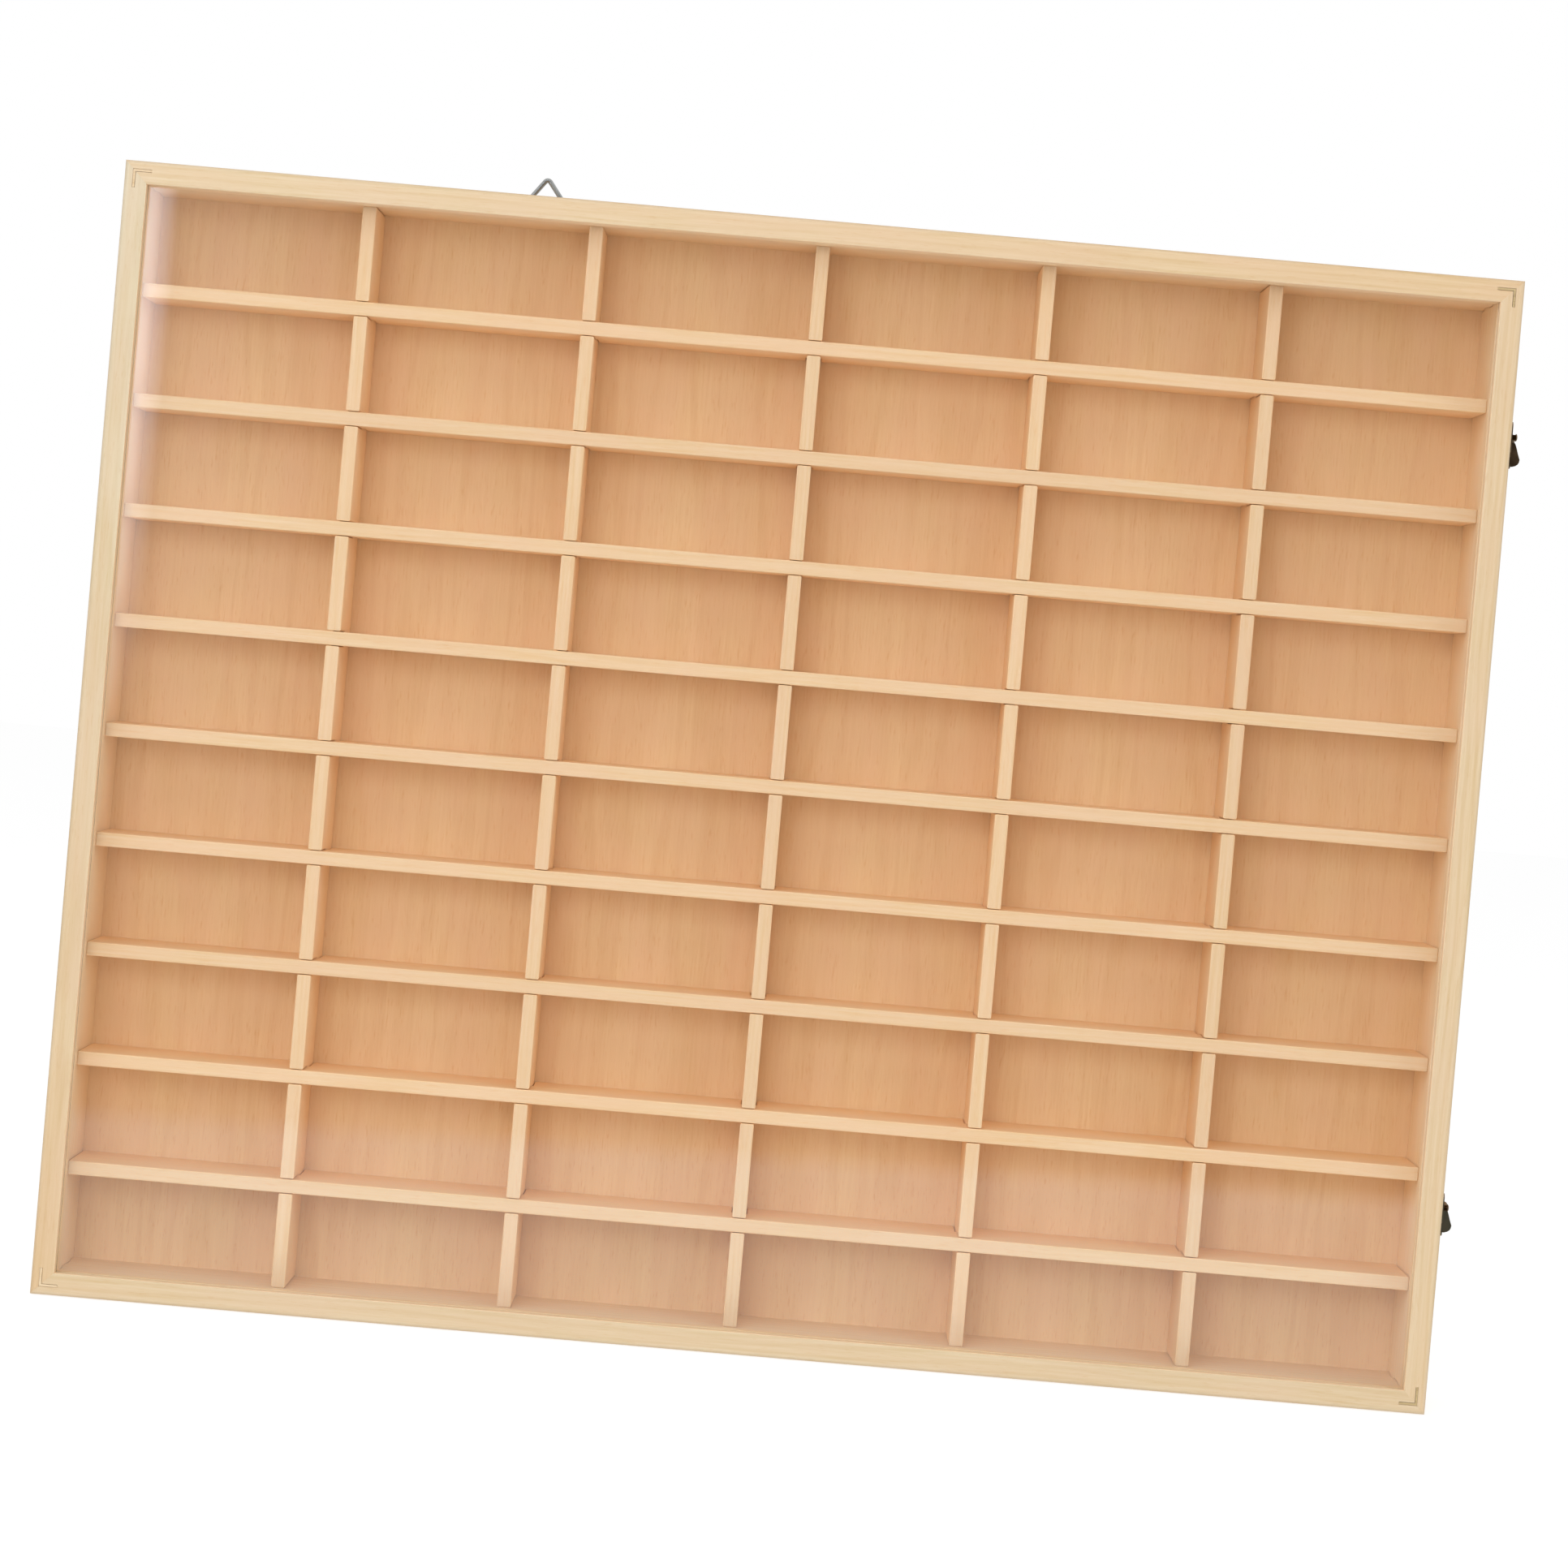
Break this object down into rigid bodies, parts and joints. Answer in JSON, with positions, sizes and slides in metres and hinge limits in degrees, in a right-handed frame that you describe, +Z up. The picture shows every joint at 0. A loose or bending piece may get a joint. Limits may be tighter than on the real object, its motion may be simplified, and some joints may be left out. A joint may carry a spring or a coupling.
{
  "type": "action figure display case",
  "caption": "Shallow wooden wall case with an egg-crate of slats, a side-hinged door holding a clear panel, hook latches and ring hangers.",
  "frame": {"origin": "on the underside of the case, at the middle of its width and of the whole depth, door included", "axes": "+X to the viewer's right, -Y to the front (the door), +Y to the wall, +Z up"},
  "size_m": [0.507, 0.0554, 0.4185],
  "materials": {
    "pale_wood": "sanded, clear matt",
    "slat_wood": "sanded, bare",
    "plywood": "bare veneer",
    "clear_panel": "clear cast acrylic",
    "bronze": "antique bronze",
    "zinc": "zinc plated"
  },
  "bodies": {
    "case": {"case_bottom": "pale_wood", "case_top": "pale_wood", "case_left_side": "pale_wood", "case_right_side": "pale_wood", "back_panel": "plywood", "shelf_1": "slat_wood", "shelf_2": "slat_wood", "shelf_3": "slat_wood", "shelf_4": "slat_wood", "shelf_5": "slat_wood", "shelf_6": "slat_wood", "shelf_7": "slat_wood", "shelf_8": "slat_wood", "shelf_9": "slat_wood", "divider_1": "slat_wood", "divider_2": "slat_wood", "divider_3": "slat_wood", "divider_4": "slat_wood", "divider_5": "slat_wood", "hinge_upper_case_leaf": "bronze", "hinge_upper_pin": "bronze", "hinge_upper_case_screw_1": "bronze", "hinge_upper_case_screw_2": "bronze", "hinge_lower_case_leaf": "bronze", "hinge_lower_pin": "bronze", "hinge_lower_case_screw_1": "bronze", "hinge_lower_case_screw_2": "bronze", "latch_upper_base": "bronze", "latch_upper_base_screw_1": "bronze", "latch_upper_base_screw_2": "bronze", "latch_lower_base": "bronze", "latch_lower_base_screw_1": "bronze", "latch_lower_base_screw_2": "bronze", "hanger_left_strap": "zinc", "hanger_left_screw": "zinc", "hanger_right_strap": "zinc", "hanger_right_screw": "zinc"},
    "door": {"door_bottom_rail": "pale_wood", "door_top_rail": "pale_wood", "door_left_stile": "pale_wood", "door_right_stile": "pale_wood", "door_clear_panel": "clear_panel", "corner_wedge_bottom_left": "zinc", "corner_wedge_top_left": "zinc", "corner_wedge_top_right": "zinc", "corner_wedge_bottom_right": "zinc", "hinge_upper_door_leaf": "bronze", "hinge_upper_door_screw_1": "bronze", "hinge_upper_door_screw_2": "bronze", "hinge_lower_door_leaf": "bronze", "hinge_lower_door_screw_1": "bronze", "hinge_lower_door_screw_2": "bronze", "latch_upper_catch_plate": "bronze", "latch_upper_catch_stud": "bronze", "latch_lower_catch_plate": "bronze", "latch_lower_catch_stud": "bronze"},
    "upper_hook": {"latch_upper_hook": "bronze"},
    "lower_hook": {"latch_lower_hook": "bronze"},
    "left_ring": {"hanger_left_ring": "zinc"},
    "right_ring": {"hanger_right_ring": "zinc"}
  },
  "joints": [
    {"name": "door_hinge", "type": "hinge", "parent": "case", "child": "door", "pos_m": [-0.2491, -0.0135, 0.2035], "axis": [0, 0, -1], "range_deg": [0, 110]},
    {"name": "upper_hook_pivot", "type": "hinge", "parent": "case", "child": "upper_hook", "pos_m": [0.25205, -0.0105, 0.3512], "axis": [-1, 0, 0], "range_deg": [0, 90]},
    {"name": "lower_hook_pivot", "type": "hinge", "parent": "case", "child": "lower_hook", "pos_m": [0.25205, -0.0105, 0.0741], "axis": [-1, 0, 0], "range_deg": [0, 90]},
    {"name": "left_ring_swing", "type": "hinge", "parent": "case", "child": "left_ring", "pos_m": [-0.103, 0.0277, 0.4038], "axis": [-1, 0, 0], "range_deg": [0, 180]},
    {"name": "right_ring_swing", "type": "hinge", "parent": "case", "child": "right_ring", "pos_m": [0.103, 0.0277, 0.4038], "axis": [1, 0, 0], "range_deg": [0, 180]}
  ]
}
